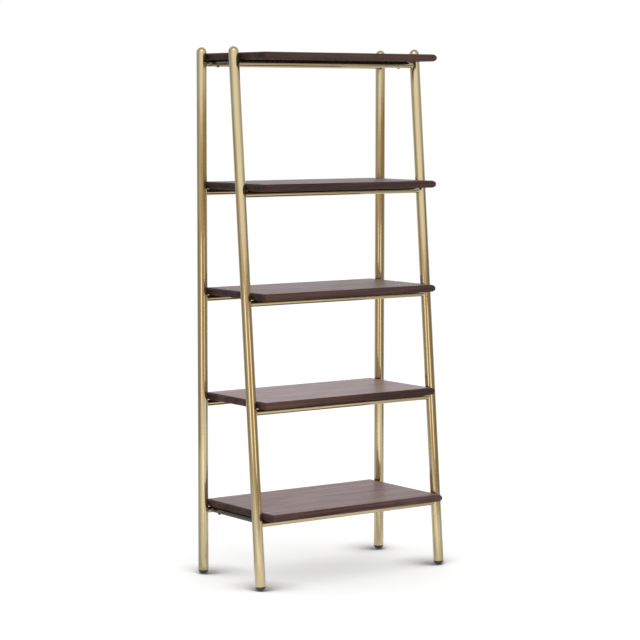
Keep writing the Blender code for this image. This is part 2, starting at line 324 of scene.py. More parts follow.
def brass_material(name, turn):
    """Satin brass, brushed along the tube, with a faint uneven tone. The turn lays Z along the tube."""
    made, tree, shader = new_material(name)

    def along(stretch):
        upright = add_node(tree, "Mapping", Vector=own_coords(tree), Rotation=turn).outputs[0]
        return stretched(tree, upright, stretch)

    brushed = noise(tree, along(BRUSH_STRETCH), scale=700, detail=3.0, roughness=0.6)
    cloudy = noise(tree, along(CLOUD_STRETCH), scale=22, detail=4.0, roughness=0.55)
    tone = color_ramp(tree, cloudy, BRASS_TONES)
    marks = value_ramp(tree, brushed, NARROW_SPAN, BRASS_MARK_SHARE)
    feed(tree, shader.inputs["Base Color"], mixed(tree, marks, tone, BRASS_MARK))
    feed(tree, shader.inputs["Roughness"], value_ramp(tree, brushed, WIDE_SPAN, BRASS_ROUGHNESS))
    feed(tree, shader.inputs["Normal"], bump(tree, brushed, strength=0.015, distance=BRUSH_DEPTH))
    shader.inputs["Metallic"].default_value = 1.0
    return made


# Walnut. Its noises are drawn out along the board, and given in cycles per metre along x, y and z.
GRAIN_WAVE = (1.3, 5.0, 5.0)
GRAIN_SWING = 0.03
BAND_STRETCH = (0.9, 26.0, 26.0)
STREAK_STRETCH = (5.0, 190.0, 190.0)
PORE_STRETCH = (38.0, 900.0, 900.0)
RAW_STRETCH = (4.0, 150.0, 150.0)
WALNUT_TONES = ((0.32, (0.050, 0.023, 0.021)), (0.50, (0.092, 0.044, 0.038)), (0.68, (0.150, 0.077, 0.064)))
STREAK_TONES = ((0.32, (0.54, 0.50, 0.48)), (0.66, (1.34, 1.30, 1.28)))
STREAK_SHARE = 0.75
PORE_SPAN = (0.60, 0.72)
PORE_COLOR = (0.020, 0.010, 0.008)
PORE_SHARE = 0.6
BAND_DEPTH = 0.45 * MM
PORE_DEPTH = 0.08 * MM
STREAK_DEPTH = 0.06 * MM
SHEEN_ROUGHNESS = 0.35
SHEEN_TINT = (1.0, 0.64, 0.62, 1.0)
# The underside's tones, painted dark as the shade under the board
RAW_SHADE_TONES = ((0.30, (0.022, 0.013, 0.010)), (0.70, (0.050, 0.030, 0.024)))
RAW_DEPTH = 0.1 * MM
RAW_ROUGHNESS = 0.85
RAW_SPECULAR = 0.12


def walnut_coords(tree):
    """The board's own coordinates, gently waved, with the grain along X."""
    coords = own_coords(tree)
    wave = noise(tree, stretched(tree, coords, GRAIN_WAVE), output="Color")
    swing = add_node(tree, "Mapping", Vector=wave, Location=(-GRAIN_SWING / 2,) * 3,
                     Scale=(GRAIN_SWING,) * 3).outputs[0]
    return math_node(tree, "ADD", coords, swing, kind="VectorMath")


def walnut_material(name, level, roughness, specular, sheen=0.0):
    """Dark stained walnut under lacquer: growth bands, fine streaks and open pores along the board. The
    level scales its tones, and with them paints in the light and shade that each board gets."""
    made, tree, shader = new_material(name)
    coords = walnut_coords(tree)
    bands = noise(tree, stretched(tree, coords, BAND_STRETCH), detail=5.0, roughness=0.62)
    streaks = noise(tree, stretched(tree, coords, STREAK_STRETCH), detail=4.0, roughness=0.65)
    pores = noise(tree, stretched(tree, coords, PORE_STRETCH), detail=1.0)
    # The level is painted light and shade: it scales the grain's tones
    stops = [(position, [level * part for part in color]) for position, color in WALNUT_TONES]
    tone = color_ramp(tree, bands, stops)
    fine = color_ramp(tree, streaks, STREAK_TONES)
    grain = mixed(tree, STREAK_SHARE, tone, fine, blend_type="MULTIPLY")
    open_pores = value_ramp(tree, pores, PORE_SPAN, (0.0, 1.0))
    dark_pores = math_node(tree, "MULTIPLY", open_pores, PORE_SHARE)
    pore_height = math_node(tree, "MULTIPLY", open_pores, -1.0)
    relief = bump(tree, bands, strength=0.5, distance=BAND_DEPTH)
    relief = bump(tree, pore_height, strength=0.5, distance=PORE_DEPTH, under=relief)
    relief = bump(tree, streaks, strength=0.25, distance=STREAK_DEPTH, under=relief)
    feed(tree, shader.inputs["Base Color"], mixed(tree, dark_pores, grain, PORE_COLOR))
    feed(tree, shader.inputs["Roughness"], value_ramp(tree, streaks, WIDE_SPAN, roughness))
    feed(tree, shader.inputs["Normal"], relief)
    shader.inputs["Specular IOR Level"].default_value = specular
    shader.inputs["Sheen Weight"].default_value = sheen
    shader.inputs["Sheen Roughness"].default_value = SHEEN_ROUGHNESS
    shader.inputs["Sheen Tint"].default_value = SHEEN_TINT
    return made


def raw_walnut_material():
    """The underside of a shelf, stained but not lacquered, so matt. Its tones are painted dark, as the
    shade under the board.
    """
    made, tree, shader = new_material("raw_walnut")
    streaks = noise(tree, stretched(tree, walnut_coords(tree), RAW_STRETCH), detail=4.0, roughness=0.65)
    feed(tree, shader.inputs["Base Color"], color_ramp(tree, streaks, RAW_SHADE_TONES))
    feed(tree, shader.inputs["Normal"], bump(tree, streaks, strength=0.5, distance=RAW_DEPTH))
    shader.inputs["Roughness"].default_value = RAW_ROUGHNESS
    shader.inputs["Specular IOR Level"].default_value = RAW_SPECULAR
    return made


# Plated, coated and moulded surfaces
GRIT_PER_CLOUD = 18
GLOSS_SPREAD = 0.06
GRIT_DEPTH = 0.03 * MM
PLATED_DEPTH = 0.004 * MM


def fine_material(name, color, dark, roughness, grit, metallic=0.0, depth=GRIT_DEPTH, specular=0.5):
    """A plated, coated or moulded surface: two close tones, a fine grit and an uneven gloss."""
    made, tree, shader = new_material(name)
    coords = own_coords(tree)
    fine = noise(tree, coords, scale=grit, roughness=0.6)
    broad = noise(tree, coords, scale=grit / GRIT_PER_CLOUD, detail=3.0)
    clouds = value_ramp(tree, broad, NARROW_SPAN, (0.0, 1.0))
    gloss = value_ramp(tree, fine, WIDE_SPAN, (roughness - GLOSS_SPREAD, roughness + GLOSS_SPREAD))
    feed(tree, shader.inputs["Base Color"], mixed(tree, clouds, dark, color))
    feed(tree, shader.inputs["Roughness"], gloss)
    feed(tree, shader.inputs["Normal"], bump(tree, fine, strength=0.35, distance=depth))
    shader.inputs["Metallic"].default_value = metallic
    shader.inputs["Specular IOR Level"].default_value = specular
    return made


UPRIGHT_BRASS = brass_material("upright_brass", (0.0, 0.0, 0.0))
LEANING_BRASS = brass_material("leaning_brass", (leg_lean("front_left"), 0.0, 0.0))
RAIL_BRASS = brass_material("rail_brass", (0.0, math.pi / 2, 0.0))
RAW_WALNUT = raw_walnut_material()
BLACK_NICKEL = fine_material("black_nickel", (0.235, 0.225, 0.215), (0.195, 0.188, 0.178), roughness=0.16,
                             grit=1600, metallic=1.0, depth=PLATED_DEPTH)
BLACK_SCREW = fine_material("black_oxide", (0.045, 0.042, 0.040), (0.022, 0.021, 0.020), roughness=0.36,
                            grit=2200, metallic=0.6)
ZINC = fine_material("zinc_plate", (0.62, 0.63, 0.65), (0.50, 0.51, 0.52), roughness=0.30, grit=1800,
                     metallic=1.0)
NYLON = fine_material("black_nylon", (0.032, 0.032, 0.032), (0.020, 0.020, 0.020), roughness=0.52, grit=1500)
GLIDE = fine_material("glide_plastic", (0.030, 0.029, 0.027), (0.018, 0.017, 0.016), roughness=0.22,
                      grit=1300, specular=1.0)


# Legs
LEG_RADIUS = size("rear_leg_left").x / 2
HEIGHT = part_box("rear_leg_left")[1].z
HALF_SPACING = middle("rear_leg_right").x
LEG_WALL = 1.5 * MM
LEG_LIP = 0.4 * MM

# Feet. Heights are measured from the foot's upper face, the thread's flat is a share of its flank, and the
# dome ends at a small angle below its edge.
SEAT_GAP = 0.3 * MM
STUD_RADIUS = size("foot_stud_rear_left").x / 2
STUD_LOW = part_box("foot_stud_rear_left")[0].z - foot_base("rear_left").z
STUD_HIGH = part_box("foot_stud_rear_left")[1].z - foot_base("rear_left").z
STUD_BORE = STUD_RADIUS + SEAT_GAP
STUD_CHAMFER = 0.8 * MM
THREAD_PITCH = 1.25 * MM
THREAD_DEPTH = 0.65 * MM
THREAD_FLAT = 0.125
INSERT_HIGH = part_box("foot_insert_rear_left")[1].z - foot_base("rear_left").z
INSERT_CHAMFER = 0.6 * MM
GLIDE_EDGE = 0.9 * MM
GLIDE_CHAMFER = 0.5 * MM
DOME_END = -0.06


def leg_outline(corner):
    """A hollow tube with a domed end and a softened lip. Two rings hold its long side straight."""
    center = (HEIGHT - LEG_RADIUS - foot_base(corner).z) / math.cos(leg_lean(corner))
    bore = LEG_RADIUS - LEG_WALL
    inside = arc(bore, math.pi / 2, 0, DOME_STEPS, (0.0, center))
    outside = arc(LEG_RADIUS, 0, math.pi / 2, DOME_STEPS, (0.0, center))
    lip_in = arc(LEG_LIP, math.pi, math.pi * 1.5, LIP_STEPS, (bore + LEG_LIP, SEAT_GAP + LEG_LIP))
    lip_out = arc(LEG_LIP, -math.pi / 2, 0, LIP_STEPS, (LEG_RADIUS - LEG_LIP, SEAT_GAP + LEG_LIP))
    straight = [(LEG_RADIUS, SEAT_GAP + LEG_LIP + HOLD), (LEG_RADIUS, center - HOLD)]
    return inside + lip_in + lip_out + straight + outside


def thread_reach(height):
    """The radius of the stud by angle, at a height: a metric thread, and a chamfer at both ends."""
    to_end = min(height - STUD_LOW, STUD_HIGH - height)
    limit = STUD_RADIUS - STUD_CHAMFER + to_end

    def reach(angle):
        turn = (height / THREAD_PITCH - angle / (2 * math.pi)) % 1.0
        flank = abs(2 * turn - 1)
        shape = min(1.0, max(0.0, (1 + 2 * THREAD_FLAT) * flank - THREAD_FLAT))
        return min(STUD_RADIUS - THREAD_DEPTH * shape, max(limit, STUD_RADIUS - THREAD_DEPTH))

    return reach


def threaded_stud():
    """The stud of a foot, with its thread cut as one helix."""
    work = bmesh.new()
    length = STUD_HIGH - STUD_LOW
    count = round(length / THREAD_PITCH * THREAD_STEPS)
    rings = [ring(work, STUD_RADIUS - STUD_CHAMFER, STUD_LOW, SCREW_SEGMENTS)]
    for step in range(1, count):
        height = STUD_LOW + length * step / count
        rings.append(ring(work, thread_reach(height), height, SCREW_SEGMENTS))
    rings.append(ring(work, STUD_RADIUS - STUD_CHAMFER, STUD_HIGH, SCREW_SEGMENTS))
    bridge(work, rings)
    work.faces.new(rings[0])
    work.faces.new(rings[-1])
    return finish_mesh("stud", work)


def glide_outline(corner):
    """The domed foot, with a softened edge and the seat of its stud. Its dome just reaches the floor."""
    lean = leg_lean(corner)
    drop = math.sqrt(foot_base(corner).z ** 2 - (LEG_RADIUS * math.sin(lean)) ** 2) / math.cos(lean)
    dome = arc(LEG_RADIUS, -math.pi / 2, DOME_END, DOME_STEPS, flatten=drop / LEG_RADIUS)
    edge = arc(GLIDE_EDGE, 0, math.pi / 2, GLIDE_EDGE_STEPS, (LEG_RADIUS - GLIDE_EDGE, -GLIDE_EDGE))
    seat = [(STUD_BORE + GLIDE_CHAMFER, 0), (STUD_BORE, -GLIDE_CHAMFER),
            (STUD_BORE, STUD_LOW - SEAT_GAP), (0, STUD_LOW - SEAT_GAP)]
    return dome + edge + seat


def insert_outline():
    """The plug that takes the stud, chamfered at both ends of its bore and of its side."""
    outside = LEG_RADIUS - LEG_WALL - SEAT_GAP
    cut = INSERT_CHAMFER
    return [(STUD_BORE + cut, SEAT_GAP), (outside - cut, SEAT_GAP), (outside, SEAT_GAP + cut),
            (outside, INSERT_HIGH - cut), (outside - cut, INSERT_HIGH), (STUD_BORE + cut, INSERT_HIGH),
            (STUD_BORE, INSERT_HIGH - cut), (STUD_BORE, SEAT_GAP + cut)]


def make_legs_and_feet():
    stud = threaded_stud()
    insert = finish_mesh("insert", turned(insert_outline(), LEG_SEGMENTS, closed=True))
    for row in LEG_ROWS:
        brass = LEANING_BRASS if row == "front" else UPRIGHT_BRASS
        for side in SIDES:
            corner = row + "_" + side
            place = leg_place(corner)
            tube = finish_mesh(row + "_leg", turned(leg_outline(corner), LEG_SEGMENTS))
            glide = finish_mesh(row + "_glide", turned(glide_outline(corner), LEG_SEGMENTS))
            add_piece(row + "_leg_" + side, tube, "frame", brass, place)
            add_piece("foot_insert_" + corner, insert, "frame", NYLON, place)
            add_piece("foot_stud_" + corner, stud, "stud_" + corner, ZINC, place)
            add_piece("foot_glide_" + corner, glide, "glide_" + corner, GLIDE, place)


# Rails. The welds' bite is how far a rail's end goes into the tube that it meets.
WELD_BITE = 0.1 * MM
WELD_FILLET = 1.6 * MM
RAIL_RADIUS = size("back_rail_top").z / 2
RAIL_WALL = 1.2 * MM
SIDE_RAIL_RADIUS = size("side_rail_top_left").z / 2
SIDE_SCREW_SHANK = 3.0 * MM
RAIL_SCREW_SHANK = 2.25 * MM
RAIL_SCREW_HEAD = size("rail_screw_third_front_left").x / 2
SCREW_CLEARANCE = 0.3 * MM
DRIVER_CLEARANCE = 0.8 * MM


def leg_reach(place, y, z):
    """How far the leg's surface stands from its axis towards the middle of the bookcase, at a height."""
    local = place.inverted() @ Vector((place.translation.x, y, z))
    return math.sqrt(max(0.0, (LEG_RADIUS - WELD_BITE) ** 2 - local.y ** 2))


def weld_profile():
    """The fillet at a rail's end, as radius and distance from the leg."""
    points = []
    for step in range(FILLET_STEPS + 1):
        angle = math.pi / 2 * (1 - step / FILLET_STEPS)
        radius = RAIL_RADIUS + WELD_FILLET * (1 - math.cos(angle))
        points.append((radius, WELD_FILLET * (1 - math.sin(angle))))
    return points


def rail_mesh(name, row):
    """A tube coped to both legs of a row, with a weld fillet at each end."""
    spot = middle(name)
    work = bmesh.new()
    rings = []
    for side_name, side in SIDES.items():
        place = leg_place(row + "_" + side_name)
        stations = [(RAIL_RADIUS - RAIL_WALL, 0.0)] + weld_profile() + [(RAIL_RADIUS, WELD_FILLET + HOLD)]
        if side > 0:
            stations.reverse()
        for radius, clear in stations:
            verts = []
            for dy, dz in circle(radius, RAIL_SEGMENTS):
                y, z = spot.y + dy, spot.z + dz
                reach = leg_reach(place, y, z)
                verts.append(work.verts.new((side * (HALF_SPACING - reach - clear), y, z)))
            rings.append(verts)
    bridge(work, rings, closed=True)
    return finish_mesh(name, work)


def rail_holes(name, shelf, end):
    """For each screw of a rail, a driver hole below its head and a hole for its shank above."""
    spot = middle(name)
    holes = []
    for side in SIDES:
        x = middle(screw_name("rail_screw", shelf, end, side)).x
        holes.append((x, spot.y, RAIL_SCREW_HEAD + DRIVER_CLEARANCE, spot.z - 2 * RAIL_RADIUS, spot.z))
        holes.append((x, spot.y, RAIL_SCREW_SHANK + SCREW_CLEARANCE, spot.z + RAIL_WALL,
                      spot.z + 2 * RAIL_RADIUS))
    return holes


def make_rails():
    for end, row in RAIL_ROWS.items():
        for shelf in SHELF_NAMES:
            name = end + "_rail_" + shelf
            mesh = rail_mesh(name, row)
            if shelf in MIDDLE_SHELVES:
                mesh = drilled(mesh, rail_holes(name, shelf, end))
            add_piece(name, mesh, "frame", RAIL_BRASS)


def side_rail_mesh(name, shelf):
    """A dark tube whose ends are coped to the front and back rails."""
    spot = middle(name)
    front, back = middle("front_rail_" + shelf).y, middle("back_rail_" + shelf).y
    work = bmesh.new()
    rings = []
    for radius, rail_y, towards in ((SIDE_RAIL_RADIUS - RAIL_WALL, front, 1), (SIDE_RAIL_RADIUS, front, 1),
                                    (SIDE_RAIL_RADIUS, back, -1), (SIDE_RAIL_RADIUS - RAIL_WALL, back, -1)):
        verts = []
        for dx, dz in circle(radius, RAIL_SEGMENTS):
            reach = math.sqrt(max(0.0, RAIL_RADIUS ** 2 - dz ** 2)) - WELD_BITE
            verts.append(work.verts.new((spot.x + dx, rail_y + towards * reach, spot.z + dz)))
        rings.append(verts)
    bridge(work, rings, closed=True)
    return finish_mesh(name, work)


def make_side_rails():
    for shelf in SIDE_RAIL_SHELVES:
        for side in SIDES:
            name = "side_rail_" + shelf + "_" + side
            spot = middle(name)
            holes = []
            for end in RAIL_ROWS:
                screw = middle(screw_name("side_screw", shelf, end, side))
                holes.append((screw.x, screw.y, SIDE_SCREW_SHANK + SCREW_CLEARANCE,
                              spot.z - 2 * SIDE_RAIL_RADIUS, spot.z + 2 * SIDE_RAIL_RADIUS))
            add_piece(name, drilled(side_rail_mesh(name, shelf), holes), "frame", BLACK_NICKEL)


# Screws, with their heads down. The socket's depth and the rim are shares of the head's height, and the
# tip's length and end are shares of the shank's radius.
SOCKET_DEPTH_SHARE = 0.6
RIM_SHARE = 0.16
TIP_LENGTH_SHARE = 0.8
TIP_END_SHARE = 0.25
SOCKET_LEAD = 0.15 * MM
SOCKET_LAND = 0.55 * MM
SIDE_SCREW_GAP = 0.3 * MM
SIDE_SCREW_SOCKET = 3.4 * MM
SIDE_SCREW_CROWN = 1.0
RAIL_SCREW_HEAD_HEIGHT = 2.4 * MM
RAIL_SCREW_SOCKET = 3.0 * MM
RAIL_SCREW_CROWN = 0.35


def hexagon(flats):
    """The radius of a hexagon by angle, from its width across flats."""
    def reach(angle):
        turn = (angle + math.pi / 6) % (math.pi / 3) - math.pi / 6
        return flats / 2 / math.cos(turn)
    return reach


def screw_mesh(name, head_radius, head_height, shank, tip, flats, crown):
    """A screw with a hex socket in a head that is crowned, fully or in part, and a shank up to its tip."""
    socket_depth = head_height * SOCKET_DEPTH_SHARE
    rim = head_height * RIM_SHARE
    outline = [(0, socket_depth), (hexagon(flats), socket_depth), (hexagon(flats), SOCKET_LEAD),
               (hexagon(flats + 2 * SOCKET_LEAD), 0.0)]
    land = flats / 2 + SOCKET_LAND
    for step in range(CROWN_STEPS + 1):
        share = step / CROWN_STEPS
        rise = (head_height - rim) * (1 - math.sqrt(max(0.0, 1 - share ** 2))) * crown
        outline.append((land + (head_radius - land) * share, rise))
    outline += [(head_radius, head_height), (shank, head_height), (shank, tip - shank * TIP_LENGTH_SHARE),
                (shank * TIP_END_SHARE, tip), (0, tip)]
    return finish_mesh(name, turned(outline, SCREW_SEGMENTS))


def side_screw_mesh():
    low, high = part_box("side_screw_top_front_left")
    head_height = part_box("side_rail_top_left")[0].z - SIDE_SCREW_GAP - low.z
    return screw_mesh("side_screw", (high.x - low.x) / 2, head_height, SIDE_SCREW_SHANK, high.z - low.z,
                      SIDE_SCREW_SOCKET, SIDE_SCREW_CROWN)


def rail_screw_mesh():
    return screw_mesh("rail_screw", RAIL_SCREW_HEAD, RAIL_SCREW_HEAD_HEIGHT, RAIL_SCREW_SHANK,
                      size("rail_screw_third_front_left").z, RAIL_SCREW_SOCKET, RAIL_SCREW_CROWN)


def make_screws():
    for kind, mesh, shelves in (("side_screw", side_screw_mesh(), SIDE_RAIL_SHELVES),
                                ("rail_screw", rail_screw_mesh(), MIDDLE_SHELVES)):
        for shelf in shelves:
            for name in screw_names(kind, shelf):
                spot = middle(name)
                place = Matrix.Translation((spot.x, spot.y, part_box(name)[0].z))
                add_piece(name, mesh, "frame", BLACK_SCREW, place)


# Shelves
SHELF_CORNER = 4 * MM
SHELF_ROUND = 11.5 * MM
DRILL_START = 5 * MM
PILOT_ROOM = 1 * MM

# A board's material slots
FACE, EDGE, UNDERSIDE, END = range(4)

# The top of each board, as the photograph shows it: level, roughness, specular level and sheen. The
# level is painted light and shade: it scales each board's tones, lighter for the lower boards.
BOARD_LIGHT_AND_GLOSS = {
    "top": (0.75, 0.54, 0.50, 0.12),
    "fourth": (0.72, 0.54, 0.45, 0.10),
    "third": (0.78, 0.54, 0.50, 0.15),
    "second": (1.04, 0.48, 0.80, 0.28),
    "bottom": (1.10, 0.54, 0.50, 0.29),
}
SMOOTH_ROUGHNESS_SHARE = 0.64

# Its edges, and the end grain, whose tones the code scales darker
EDGE_ROUGHNESS = (0.62, 0.50)
EDGE_SPECULAR = 0.25
END_LEVEL_SHARE = 0.62


def shelf_ring(work, half_length, half_depth, inset, height, center):
    """The shelf's outline at a height, moved in by an inset. A point at each end of a corner keeps the sides
    straight."""
    verts = []
    for quarter, (x_sign, y_sign) in enumerate(((1, 1), (-1, 1), (-1, -1), (1, -1))):
        middle_x = x_sign * (half_length - inset - SHELF_CORNER)
        middle_y = y_sign * (half_depth - inset - SHELF_CORNER)
        for step in range(-1, CORNER_STEPS + 2):
            angle = math.pi / 2 * (quarter + min(max(step, 0), CORNER_STEPS) / CORNER_STEPS)
            hold = HOLD * (min(step, 0) + max(step - CORNER_STEPS, 0))
            x = middle_x + SHELF_CORNER * math.cos(angle) - hold * math.sin(angle)
            y = middle_y + SHELF_CORNER * math.sin(angle) + hold * math.cos(angle)
            verts.append(work.verts.new((center.x + x, center.y + y, height)))
    return verts


def shelf_mesh(node):
    """A board with round corners and rounded edges above and below, its faces given to their slots."""
    low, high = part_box(node)
    center = (low + high) / 2
    half_length, half_depth = (high.x - low.x) / 2, (high.y - low.y) / 2
    stations = [(SHELF_ROUND + HOLD, low.z)]
    for step in range(SHELF_EDGE_STEPS + 1):
        angle = math.pi / 2 * step / SHELF_EDGE_STEPS
        stations.append((SHELF_ROUND * (1 - math.sin(angle)), low.z + SHELF_ROUND * (1 - math.cos(angle))))
    stations += [(inset, low.z + high.z - height) for inset, height in reversed(stations)]
    work = bmesh.new()
    rings = [shelf_ring(work, half_length, half_depth, inset, height, center) for inset, height in stations]
    bridge(work, rings)
    under = work.faces.new(rings[0])
    upper = work.faces.new(rings[-1])
    for face in work.faces:
        at_end = abs(face.calc_center_median().x - center.x) > half_length - SHELF_ROUND
        face.material_index = END if at_end else EDGE
    upper.material_index = FACE
    under.material_index = UNDERSIDE
    return finish_mesh(node, work)


def shelf_holes(shelf):
    """Pilot holes over the screws, up from the underside."""
    kind, shank = ("rail_screw", RAIL_SCREW_SHANK)
    if shelf in SIDE_RAIL_SHELVES:
        kind, shank = ("side_screw", SIDE_SCREW_SHANK)
    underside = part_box("shelf_" + shelf)[0].z
    return [(middle(name).x, middle(name).y, shank + SCREW_CLEARANCE, underside - DRILL_START,
             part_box(name)[1].z + PILOT_ROOM) for name in screw_names(kind, shelf)]


def shelf_materials(shelf):
    """A board's materials, in the order of its slots."""
    # The board's level is painted light and shade, for its face, edges and ends
    level, rough, specular, sheen = BOARD_LIGHT_AND_GLOSS[shelf]
    roughness = (rough, SMOOTH_ROUGHNESS_SHARE * rough)
    return (walnut_material("walnut_face_" + shelf, level, roughness, specular, sheen),
            walnut_material("walnut_edge_" + shelf, level, EDGE_ROUGHNESS, EDGE_SPECULAR),
            RAW_WALNUT,
            walnut_material("walnut_end_" + shelf, level * END_LEVEL_SHARE, EDGE_ROUGHNESS, EDGE_SPECULAR))


def make_shelves():
    for shelf in SHELF_NAMES:
        node = "shelf_" + shelf
        mesh = shelf_mesh(node)
        for material in shelf_materials(shelf):
            mesh.materials.append(material)
        add_piece(node, drilled(mesh, shelf_holes(shelf)), "frame")


# Camera, fitted to the photograph
CAMERA_SPOT = Vector((-4.569, -6.310, 1.6146))
YAW, PITCH, ROLL = 0.62491, 0.09524, 0.00114
FOCAL_WIDTHS = 3.55607
SENSOR = 36.0
LEVEL_RIGHT = Vector((math.cos(YAW), -math.sin(YAW), 0.0))


def make_camera():
    forward = Vector((math.sin(YAW) * math.cos(PITCH), math.cos(YAW) * math.cos(PITCH), -math.sin(PITCH)))
    level_up = LEVEL_RIGHT.cross(forward)
    right = LEVEL_RIGHT * math.cos(ROLL) + level_up * math.sin(ROLL)
    up = level_up * math.cos(ROLL) - LEVEL_RIGHT * math.sin(ROLL)
    turn = Matrix((right, up, -forward)).transposed().to_4x4()
    data = bpy.data.cameras.new("camera")
    data.sensor_width = SENSOR
    data.lens = FOCAL_WIDTHS * SENSOR
    camera = new_item("camera", data)
    camera.matrix_world = Matrix.Translation(CAMERA_SPOT) @ turn
    bpy.context.scene.camera = camera


# Studio floor. A contact shadow is painted into it close to the feet: its glow and its diffuse colour drop
# by ambient occlusion that looks outwards and to the camera, so that the painted shade lies inside and
# behind each foot, as in the photograph.
FLOOR_REACH = 14.0
FLOOR_ALBEDO = 0.80
FLOOR_GLOW = 0.42
FLOOR_SHEEN = 0.10
CONTACT_REACH = 0.16
CONTACT_LEAN = 2.2
CONTACT_PUSH = 1.2
CONTACT_SAMPLES = 12
CONTACT_SPAN = (0.82, 0.99)
# Painted contact shadow: the glow and the diffuse colour of the floor right beside a foot
CONTACT_SHADE_GLOW = 0.0
CONTACT_SHADE_ALBEDO = 0.50

# Fill light from the world, and what the camera and reflections see of it
WORLD_FILL = 0.80
WORLD_WHITE = 1.0


def studio_direction(degrees):
    """Level direction from the bookcase, measured from the camera's and positive to the camera's right."""
    towards = Vector((-math.sin(YAW), -math.cos(YAW), 0.0))
    angle = math.radians(degrees)
    return towards * math.cos(angle) + LEVEL_RIGHT * math.sin(angle)


def stage_material(name):
    """A material with nothing in it yet but its output."""
    made = bpy.data.materials.new(name)
    made.use_nodes = True
    made.node_tree.nodes.clear()
    output = made.node_tree.nodes.new("ShaderNodeOutputMaterial")
    return made, made.node_tree, output


def seen_directly(tree, path):
    """1 for rays of the camera, of reflections and through clear things, and 0 for light on surfaces."""
    direct = math_node(tree, "MAXIMUM", path.outputs["Is Camera Ray"], path.outputs["Is Glossy Ray"])
    return math_node(tree, "MAXIMUM", direct, path.outputs["Is Transmission Ray"])


def near_feet(tree):
    """How open the floor is: low close to a foot, and 1 away from them all."""
    push = studio_direction(0) * CONTACT_PUSH
    position = add_node(tree, "NewGeometry").outputs["Position"]
    outward = math_node(tree, "MULTIPLY_ADD", position, (CONTACT_LEAN, CONTACT_LEAN, 0.0),
                        (push.x, push.y, 1.0), kind="VectorMath")
    outward = math_node(tree, "NORMALIZE", outward, kind="VectorMath")
    return add_node(tree, "AmbientOcclusion", {"samples": CONTACT_SAMPLES}, Distance=CONTACT_REACH,
                    Normal=outward).outputs["AO"]


def floor_material():
    """Pale and matt, with a glow that makes it white to the camera and keeps the bookcase's shadow. In
    reflections its glow is weaker."""
    made, tree, output = stage_material("floor")
    near = near_feet(tree)
    # Painted contact shadow: the glow and the diffuse colour drop close to a foot
    shaded_glow_level = value_ramp(tree, near, CONTACT_SPAN, (CONTACT_SHADE_GLOW, FLOOR_GLOW))
    shaded_albedo = value_ramp(tree, near, CONTACT_SPAN, (CONTACT_SHADE_ALBEDO, FLOOR_ALBEDO))
    plain = add_node(tree, "BsdfDiffuse", Color=shaded_albedo)
    path = add_node(tree, "LightPath")
    strength = mixed(tree, path.outputs["Is Glossy Ray"], shaded_glow_level, FLOOR_SHEEN, data_type="FLOAT")
    glow = add_node(tree, "Emission", Strength=strength)
    seen = tree.nodes.new("ShaderNodeAddShader")
    tree.links.new(plain.outputs[0], seen.inputs[0])
    tree.links.new(glow.outputs[0], seen.inputs[1])
    pick = tree.nodes.new("ShaderNodeMixShader")
    tree.links.new(seen_directly(tree, path), pick.inputs[0])
    tree.links.new(plain.outputs[0], pick.inputs[1])
    tree.links.new(seen.outputs[0], pick.inputs[2])
    tree.links.new(pick.outputs[0], output.inputs["Surface"])
    return made


def make_floor():
    work = bmesh.new()
    work.faces.new(ring(work, FLOOR_REACH, 0.0, LEG_SEGMENTS))
    mesh = mesh_of("floor", work)
    mesh.materials.append(floor_material())
    new_item("floor", mesh)


def make_world():
    """White to the camera and in reflections, and a softer fill for everything else."""
    world = bpy.data.worlds.new("studio")
    world.use_nodes = True
    bpy.context.scene.world = world
    tree = world.node_tree
    direct = seen_directly(tree, add_node(tree, "LightPath"))
    shade = tree.nodes["Background"]
    shade.inputs["Color"].default_value = (1.0, 1.0, 1.0, 1.0)
    feed(tree, shade.inputs["Strength"], value_ramp(tree, direct, (0.0, 1.0), (WORLD_FILL, WORLD_WHITE)))


# Studio lamps, which light surfaces but show in no reflection
def add_softbox(name, spot, aim, width, height, power):
    lamp = bpy.data.lights.new(name, "AREA")
    lamp.shape = "RECTANGLE"
    lamp.size, lamp.size_y = width, height
    lamp.energy = power
    item = new_item(name, lamp)
    item.location = spot
    item.rotation_mode = "QUATERNION"
    item.rotation_quaternion = (Vector(aim) - Vector(spot)).to_track_quat("-Z", "Y")
    item.visible_camera = False
    item.visible_glossy = False


def make_lamps():
    front = studio_direction(0) * 3.0
    add_softbox("overhead", spot=(0.0, -0.3, 6.0), aim=(0.0, 0.0, 0.0), width=5.0, height=5.0, power=24)
    add_softbox("front_fill", spot=(front.x, front.y, 0.8), aim=(0.0, 0.0, 0.5), width=2.4, height=1.2,
                power=18)


# Studio cards, which show only in reflections
NEUTRAL = (1.0, 0.98, 0.95)
WARM = (1.0, 0.93, 0.85)
BROWN = (1.0, 0.76, 0.45)
COOL = (0.92, 0.96, 1.0)
TAN = (1.0, 0.88, 0.70)
MAUVE = (1.0, 0.93, 0.97)

# Level distances of the cards from the middle of the bookcase
STRIP_START = 0.3
PANELS = 2.1
WALL = 3.0
HIGH_LIGHT = 3.5
FAR_WALL = 7.0
FAR_BACK = 30.0
CEILING_HOLE = 0.02
CEILING_REACH = 12.0

# Heights of the cards
STRIP_LIFT = 0.004
PANEL_FOOT = 0.02
PANEL_SPAN = (0.37, 1.05)
WALL_FOOT = 0.05
WALL_LOWER = 1.1
WALL_UPPER = 1.6
FLAG_RIGHT_TOP = 1.62
CEILING = 3.4
FAR_TOP = 1.48
FAR_RIGHT_TOP = 1.66
HIGH_LIGHT_SPAN = (3.7, 6.8)
FAR_CEILING = 8.0
FAR_BACK_HEIGHT = 20.0

# Sections round the bookcase, in degrees from the camera's direction, positive to the camera's right, and how
# many degrees one facet of a card takes
CARD_STEP = 4
BEHIND_LEFT = (-150, -114)
LEFT = (-114, -66)
FRONT_LEFT = (-66, -38)
RIGHT = (76, 114)
BEHIND_RIGHT = (114, 150)


